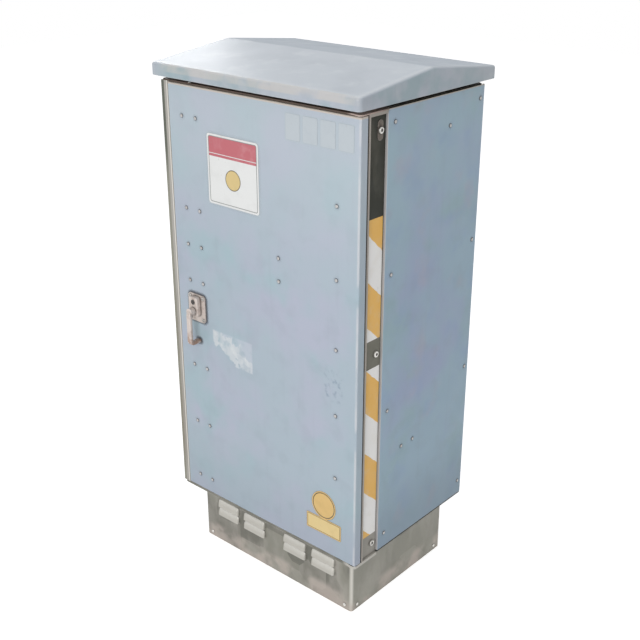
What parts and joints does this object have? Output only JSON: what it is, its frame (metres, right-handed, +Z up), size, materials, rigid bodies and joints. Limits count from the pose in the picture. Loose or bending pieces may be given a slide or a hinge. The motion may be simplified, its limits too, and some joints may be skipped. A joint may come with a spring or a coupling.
{
  "type": "roadside utility cabinet",
  "caption": "Upright roadside utility cabinet on a louvred galvanised plinth, with one pivoting door, lever lock and latch rods, gable roof and electrical gear inside.",
  "frame": {"origin": "on the ground at the middle of the four anchor holes in the plinth's feet", "axes": "+Z up, -Y towards the front with the door, +X towards the hinge side"},
  "size_m": [0.693, 0.5605, 1.4758],
  "materials": {
    "blue_paint": "satin powder coat, weathered",
    "roof_paint": "satin powder coat, weathered",
    "galvanised": "hot-dip galvanised, dull spangle",
    "frame_paint": "grey primer, worn",
    "curb_paint": "brown primer, rusty",
    "zinc": "zinc plated",
    "lock_metal": "worn cast metal",
    "tape_film": "striped adhesive film",
    "sign_metal": "painted aluminium plate",
    "label_film": "adhesive film",
    "seal_rubber": "extruded strip, matt",
    "nylon": "moulded",
    "grey_plastic": "moulded",
    "white_plastic": "moulded",
    "black_plastic": "moulded",
    "red_plastic": "moulded",
    "brass": "drawn bar"
  },
  "bodies": {
    "cabinet": {"plinth_skirt": "galvanised", "plinth_rear": "galvanised", "plinth_corners": "galvanised", "plinth_screws": "zinc", "base_plate": "galvanised", "gland_plate": "galvanised", "cable_glands": "black_plastic", "frame_bolts": "zinc", "post_front_right": "frame_paint", "post_front_left": "frame_paint", "post_rear_left": "frame_paint", "post_rear_right": "frame_paint", "sill_rail": "frame_paint", "header_rail": "frame_paint", "head_plate": "frame_paint", "slot_plates": "zinc", "post_bolts": "zinc", "striped_tape": "tape_film", "door_seal": "seal_rubber", "pivot_pins": "zinc", "side_panel_left": "blue_paint", "side_panel_right": "blue_paint", "rear_panel": "blue_paint", "panel_rivets": "zinc", "roof_curb": "curb_paint", "roof_cap": "roof_paint", "mounting_studs": "zinc", "mounting_plate": "galvanised", "mounting_rails": "zinc", "wiring_ducts": "grey_plastic", "switch_body": "grey_plastic", "surge_arresters": "white_plastic", "fuse_holders": "white_plastic", "terminal_blocks": "grey_plastic", "earth_insulators": "red_plastic", "earth_bar": "brass", "inner_screws": "zinc"},
    "door": {"door_panel": "blue_paint", "door_stiffener_upper": "galvanised", "door_stiffener_lower": "galvanised", "door_stiffener_hinge": "galvanised", "door_rivets": "zinc", "pivot_bushes": "nylon", "rod_guides": "nylon", "document_pocket": "galvanised", "sign_plate": "sign_metal", "number_tiles": "label_film", "door_label": "label_film", "lock_plate": "lock_metal", "lock_screws": "zinc"},
    "handle": {"door_handle": "lock_metal", "handle_spindle": "zinc", "rod_driver": "zinc", "latch_tongue": "zinc", "spindle_nut": "zinc"},
    "upper_rod_body": {"upper_rod": "zinc"},
    "lower_rod_body": {"lower_rod": "zinc"},
    "key_barrel": {"lock_barrel": "zinc"},
    "switch_knob_body": {"switch_knob": "red_plastic"}
  },
  "joints": [
    {"name": "door_swing", "type": "hinge", "parent": "cabinet", "child": "door", "pos_m": [0.323, -0.2385, 0.798], "axis": [0, 0, 1], "range_deg": [0, 120]},
    {"name": "handle_turn", "type": "hinge", "parent": "door", "child": "handle", "pos_m": [-0.234, -0.25, 0.784], "axis": [0, -1, 0], "range_deg": [0, 90]},
    {"name": "upper_rod_slide", "type": "slide", "parent": "door", "child": "upper_rod_body", "axis": [0, 0, -1], "range_m": [0, 0.0312]},
    {"name": "lower_rod_slide", "type": "slide", "parent": "door", "child": "lower_rod_body", "axis": [0, 0, 1], "range_m": [0, 0.0312]},
    {"name": "key_turn", "type": "hinge", "parent": "door", "child": "key_barrel", "pos_m": [-0.234, -0.262, 0.81], "axis": [0, -1, 0], "range_deg": [0, 90]},
    {"name": "switch_turn", "type": "hinge", "parent": "cabinet", "child": "switch_knob_body", "pos_m": [-0.11, 0.11, 1.14252], "axis": [0, -1, 0], "range_deg": [0, 90]}
  ],
  "couplings": [
    {"joint": "upper_rod_slide", "follows": "handle_turn", "m_per_rad": 0.019807},
    {"joint": "lower_rod_slide", "follows": "handle_turn", "m_per_rad": 0.019807}
  ]
}
